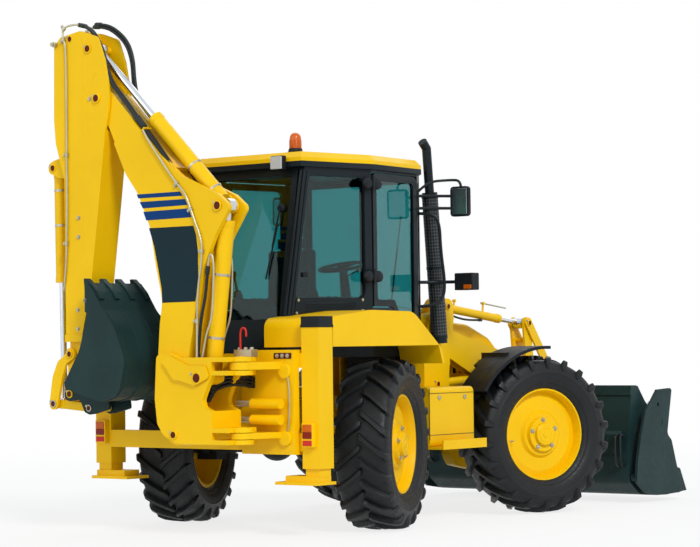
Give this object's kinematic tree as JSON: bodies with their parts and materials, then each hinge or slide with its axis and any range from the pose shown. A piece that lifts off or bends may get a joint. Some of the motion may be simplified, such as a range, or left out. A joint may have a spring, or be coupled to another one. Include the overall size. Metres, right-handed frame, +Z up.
{
  "type": "backhoe loader",
  "caption": "Backhoe loader with equal steered wheels, a four-in-one loader bucket, a cab, a side-shift carriage and a folded backhoe with a telescopic arm.",
  "frame": {"origin": "on the ground, on the machine's middle line, at the middle of its overall length", "axes": "+X forward, +Y to the machine's left, +Z up"},
  "size_m": [5.847, 2.784, 3.9019],
  "materials": {
    "yellow_paint": "satin paint",
    "slate_paint": "satin paint",
    "black_paint": "satin paint",
    "black_plastic": "moulded",
    "tyre": "worn rubber",
    "tinted_glass": "tinted",
    "rod_chrome": "polished",
    "castings": "painted casting",
    "seat_trim": "woven",
    "lamp_lens": "lens",
    "roof_shell": "moulded"
  },
  "bodies": {
    "root": {"main_frame": "yellow_paint", "engine": "castings", "front_axle": "castings", "rear_axle": "castings", "rear_frame": "yellow_paint", "cab_frame": "black_paint", "cab_roof": "roof_shell", "cab_glass": "tinted_glass", "cab_interior": "seat_trim", "rear_fenders": "yellow_paint", "side_boxes": "yellow_paint", "exhaust": "black_paint", "mirrors": "black_paint", "lamps": "lamp_lens"},
    "knuckle_front_right": {"knuckle_front_right": "black_plastic"},
    "wheel_front_right": {"rim_front_right": "yellow_paint", "tyre_front_right": "tyre"},
    "knuckle_front_left": {"knuckle_front_left": "black_plastic"},
    "wheel_front_left": {"rim_front_left": "yellow_paint", "tyre_front_left": "tyre"},
    "knuckle_rear_right": {"knuckle_rear_right": "castings"},
    "wheel_rear_right": {"rim_rear_right": "yellow_paint", "tyre_rear_right": "tyre"},
    "knuckle_rear_left": {"knuckle_rear_left": "castings"},
    "wheel_rear_left": {"rim_rear_left": "yellow_paint", "tyre_rear_left": "tyre"},
    "door_left": {"door_left": "black_paint", "door_glass_left": "tinted_glass"},
    "door_right": {"door_right": "black_paint", "door_glass_right": "tinted_glass"},
    "carriage": {"carriage": "yellow_paint", "swing_cylinders": "yellow_paint"},
    "hood": {"hood": "yellow_paint"},
    "loader_arms": {"loader_arms": "yellow_paint"},
    "lift_barrels": {"lift_barrels": "yellow_paint"},
    "lift_rods": {"lift_rods": "rod_chrome"},
    "tilt_barrels": {"tilt_barrels": "yellow_paint"},
    "tilt_rods": {"tilt_rods": "rod_chrome"},
    "bellcranks": {"bellcranks": "yellow_paint"},
    "tilt_links": {"tilt_links": "yellow_paint"},
    "bucket": {"bucket": "slate_paint"},
    "clam_jaw": {"clam_jaw": "slate_paint"},
    "clam_barrels": {"clam_barrels": "yellow_paint"},
    "clam_rods": {"clam_rods": "rod_chrome"},
    "kingpost": {"kingpost": "yellow_paint"},
    "boom": {"boom": "yellow_paint"},
    "boom_barrel": {"boom_barrel": "yellow_paint"},
    "boom_rod": {"boom_rod": "rod_chrome"},
    "hoe_arm": {"hoe_arm": "yellow_paint"},
    "arm_barrel": {"arm_barrel": "yellow_paint"},
    "arm_rod": {"arm_rod": "rod_chrome"},
    "arm_inner": {"arm_inner": "yellow_paint"},
    "hoe_bucket": {"hoe_bucket": "slate_paint"},
    "bucket_barrel": {"bucket_barrel": "yellow_paint"},
    "bucket_rod": {"bucket_rod": "rod_chrome"},
    "tipping_levers": {"tipping_levers": "yellow_paint"},
    "bucket_link": {"bucket_link": "yellow_paint"},
    "stabiliser_left": {"stabiliser_left": "yellow_paint"},
    "stabiliser_right": {"stabiliser_right": "yellow_paint"}
  },
  "joints": [
    {"name": "steer_front_right", "type": "hinge", "parent": "root", "child": "knuckle_front_right", "pos_m": [0.88, -0.815, 0.6635], "axis": [0, 0, 1], "range_deg": [-6.4, 47.6]},
    {"name": "wheel_front_right_spin", "type": "hinge", "parent": "knuckle_front_right", "child": "wheel_front_right", "pos_m": [0.88, -0.815, 0.6635], "axis": [0.3518, 0.9361, 0], "continuous": true},
    {"name": "steer_front_left", "type": "hinge", "parent": "root", "child": "knuckle_front_left", "pos_m": [0.88, 0.815, 0.6635], "axis": [0, 0, 1], "range_deg": [-6.5, 47.7]},
    {"name": "wheel_front_left_spin", "type": "hinge", "parent": "knuckle_front_left", "child": "wheel_front_left", "pos_m": [0.88, 0.815, 0.6635], "axis": [0.3518, 0.9361, 0], "continuous": true},
    {"name": "steer_rear_right", "type": "hinge", "parent": "root", "child": "knuckle_rear_right", "pos_m": [-1.32, -0.815, 0.6635], "axis": [0, 0, 1], "range_deg": [-48.3, 5.7]},
    {"name": "wheel_rear_right_spin", "type": "hinge", "parent": "knuckle_rear_right", "child": "wheel_rear_right", "pos_m": [-1.32, -0.815, 0.6635], "axis": [-0.3633, 0.9317, 0], "continuous": true},
    {"name": "steer_rear_left", "type": "hinge", "parent": "root", "child": "knuckle_rear_left", "pos_m": [-1.32, 0.815, 0.6635], "axis": [0, 0, 1], "range_deg": [-48.4, 5.8]},
    {"name": "wheel_rear_left_spin", "type": "hinge", "parent": "knuckle_rear_left", "child": "wheel_rear_left", "pos_m": [-1.32, 0.815, 0.6635], "axis": [-0.3633, 0.9317, 0], "continuous": true},
    {"name": "hood_hinge", "type": "hinge", "parent": "root", "child": "hood", "pos_m": [-0.135, 0, 1.56], "axis": [0, -1, 0], "range_deg": [0, 45]},
    {"name": "door_left_hinge", "type": "hinge", "parent": "root", "child": "door_left", "pos_m": [-1.16, 0.812, 2], "axis": [0, 0, 1], "range_deg": [0, 95]},
    {"name": "door_right_hinge", "type": "hinge", "parent": "root", "child": "door_right", "pos_m": [-1.16, -0.812, 2], "axis": [0, 0, -1], "range_deg": [0, 95]},
    {"name": "lift", "type": "hinge", "parent": "root", "child": "loader_arms", "pos_m": [0.01, 0, 1.62], "axis": [0, -1, 0], "range_deg": [0, 78]},
    {"name": "lift_barrel_pivot", "type": "hinge", "parent": "root", "child": "lift_barrels", "pos_m": [0.01, 0, 1.1], "axis": [0, -1, 0], "range_deg": [0, 62.61]},
    {"name": "lift_rod_slide", "type": "slide", "parent": "lift_barrels", "child": "lift_rods", "axis": [0.9989, 0, 0.0467], "range_m": [0, 0.5504]},
    {"name": "tilt_barrel_pivot", "type": "hinge", "parent": "root", "child": "tilt_barrels", "pos_m": [0.167, 0, 1.744], "axis": [0, -1, 0], "range_deg": [0, 90.33]},
    {"name": "tilt_rod_slide", "type": "slide", "parent": "tilt_barrels", "child": "tilt_rods", "axis": [0.9932, 0, -0.1167], "range_m": [-0.1183, 0.6128]},
    {"name": "bellcrank_pivot", "type": "hinge", "parent": "loader_arms", "child": "bellcranks", "pos_m": [1.41, 0, 1.13], "axis": [0, 1, 0], "range_deg": [-17.17, 89.32]},
    {"name": "tilt_link_pivot", "type": "hinge", "parent": "bellcranks", "child": "tilt_links", "pos_m": [1.35, 0, 1.605], "axis": [0, 1, 0], "range_deg": [-79.97, 15.39]},
    {"name": "tilt", "type": "hinge", "parent": "loader_arms", "child": "bucket", "pos_m": [2.01, 0, 0.35], "axis": [0, 1, 0], "range_deg": [-20, 105]},
    {"name": "clam", "type": "hinge", "parent": "bucket", "child": "clam_jaw", "pos_m": [2.5, 0, 0.709], "axis": [0, -1, 0], "range_deg": [0, 80]},
    {"name": "clam_barrel_pivot", "type": "hinge", "parent": "bucket", "child": "clam_barrels", "pos_m": [2.158, 0, 0.233], "axis": [0, -1, 0], "range_deg": [0, 3.95]},
    {"name": "clam_rod_slide", "type": "slide", "parent": "clam_barrels", "child": "clam_rods", "axis": [0.423, 0, 0.9061], "range_m": [-0.21, 0]},
    {"name": "side_shift", "type": "slide", "parent": "root", "child": "carriage", "axis": [0, 1, 0], "range_m": [0, 1.4]},
    {"name": "swing", "type": "hinge", "parent": "carriage", "child": "kingpost", "pos_m": [-2.62, -0.7, 1], "axis": [0, 0, 1], "range_deg": [0, 180]},
    {"name": "boom", "type": "hinge", "parent": "kingpost", "child": "boom", "pos_m": [-2.62, -0.17, 0.78], "axis": [-1, 0, 0], "range_deg": [0, 120]},
    {"name": "boom_barrel_pivot", "type": "hinge", "parent": "kingpost", "child": "boom_barrel", "pos_m": [-2.62, -0.42, 1.205], "axis": [-1, 0, 0], "range_deg": [0, 123.04]},
    {"name": "boom_rod_slide", "type": "slide", "parent": "boom_barrel", "child": "boom_rod", "axis": [0, -0.1322, 0.9912], "range_m": [0, 0.8521]},
    {"name": "arm", "type": "hinge", "parent": "boom", "child": "hoe_arm", "pos_m": [-2.62, 0.639, 3.365], "axis": [1, 0, 0], "range_deg": [0, 110]},
    {"name": "arm_barrel_pivot", "type": "hinge", "parent": "boom", "child": "arm_barrel", "pos_m": [-2.62, -0.59, 2.48], "axis": [1, 0, 0], "range_deg": [0, 1.32]},
    {"name": "arm_rod_slide", "type": "slide", "parent": "arm_barrel", "child": "arm_rod", "axis": [0, 0.7185, 0.6956], "range_m": [-0.6603, 0]},
    {"name": "telescope", "type": "slide", "parent": "hoe_arm", "child": "arm_inner", "axis": [0, 0.02, -0.9998], "range_m": [0, 1]},
    {"name": "hoe_bucket", "type": "hinge", "parent": "arm_inner", "child": "hoe_bucket", "pos_m": [-2.62, 0.959, 1.081], "axis": [1, 0, 0], "range_deg": [0, 180]},
    {"name": "tipping_lever_pivot", "type": "hinge", "parent": "arm_inner", "child": "tipping_levers", "pos_m": [-2.62, 0.958, 1.391], "axis": [1, 0, 0], "range_deg": [0, 83.65]},
    {"name": "bucket_link_pivot", "type": "hinge", "parent": "tipping_levers", "child": "bucket_link", "pos_m": [-2.62, 1.143, 1.004], "axis": [1, 0, 0], "range_deg": [-28.3, 0]},
    {"name": "bucket_barrel_pivot", "type": "hinge", "parent": "arm_inner", "child": "bucket_barrel", "pos_m": [-2.62, 1.167, 2.855], "axis": [1, 0, 0], "range_deg": [0, 9.39]},
    {"name": "bucket_rod_slide", "type": "slide", "parent": "bucket_barrel", "child": "bucket_rod", "axis": [0, -0.013, -0.9999], "range_m": [-0.5143, 0]},
    {"name": "stabiliser_left_slide", "type": "slide", "parent": "root", "child": "stabiliser_left", "axis": [0, 0, -1], "range_m": [0, 0.45]},
    {"name": "stabiliser_right_slide", "type": "slide", "parent": "root", "child": "stabiliser_right", "axis": [0, 0, -1], "range_m": [0, 0.45]}
  ],
  "couplings": [
    {"joint": "lift_barrel_pivot", "follows": "lift", "ratio": 0.80017},
    {"joint": "lift_rod_slide", "follows": "lift", "m_per_rad": 0.40285},
    {"joint": "tilt_barrel_pivot", "follows": "lift", "ratio": 1.1556},
    {"joint": "bellcrank_pivot", "follows": "tilt", "ratio": 0.84872},
    {"joint": "tilt_link_pivot", "follows": "tilt", "ratio": -0.75969},
    {"joint": "tilt_rod_slide", "follows": "tilt", "m_per_rad": 0.3333},
    {"joint": "clam_barrel_pivot", "follows": "clam", "ratio": 0.046866},
    {"joint": "clam_rod_slide", "follows": "clam", "m_per_rad": -0.149},
    {"joint": "boom_barrel_pivot", "follows": "boom", "ratio": 1.0237},
    {"joint": "boom_rod_slide", "follows": "boom", "m_per_rad": 0.40587},
    {"joint": "arm_barrel_pivot", "follows": "arm", "ratio": 0.010191},
    {"joint": "arm_rod_slide", "follows": "arm", "m_per_rad": -0.34289},
    {"joint": "tipping_lever_pivot", "follows": "hoe_bucket", "ratio": 0.46362},
    {"joint": "bucket_link_pivot", "follows": "hoe_bucket", "ratio": -0.15614},
    {"joint": "bucket_barrel_pivot", "follows": "hoe_bucket", "ratio": 0.051032},
    {"joint": "bucket_rod_slide", "follows": "hoe_bucket", "m_per_rad": -0.16307},
    {"joint": "steer_front_left", "follows": "steer_front_right", "ratio": 1},
    {"joint": "steer_rear_left", "follows": "steer_rear_right", "ratio": 1}
  ]
}
